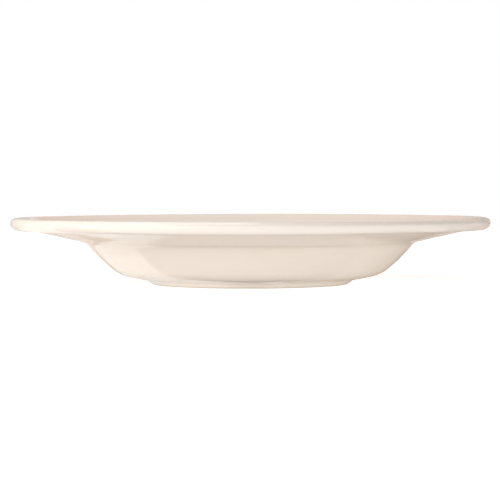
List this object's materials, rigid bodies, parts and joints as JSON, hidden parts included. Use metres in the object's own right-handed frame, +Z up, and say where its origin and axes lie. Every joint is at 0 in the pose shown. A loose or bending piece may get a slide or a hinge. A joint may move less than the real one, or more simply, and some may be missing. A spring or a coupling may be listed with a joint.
{
  "type": "pasta bowl",
  "caption": "Shallow round pasta bowl in cream glazed ceramic, with a wide sloping rim, a thick rolled edge, a round well and a low bare foot ring.",
  "frame": {"origin": "centre of the foot's standing ring, on the plane that the bowl stands on", "axes": "+Z up along the bowl's axis of revolution; X and Y are level, and every turn about Z looks alike"},
  "size_m": [0.305, 0.305, 0.0424],
  "materials": {
    "bare_clay": "fired clay, unglazed, fine matt grain",
    "cream_glaze": "smooth cream gloss glaze"
  },
  "bodies": {
    "root": {"ceramic_body": "bare_clay", "glaze_coat": "cream_glaze", "base_glaze": "cream_glaze"}
  },
  "joints": []
}
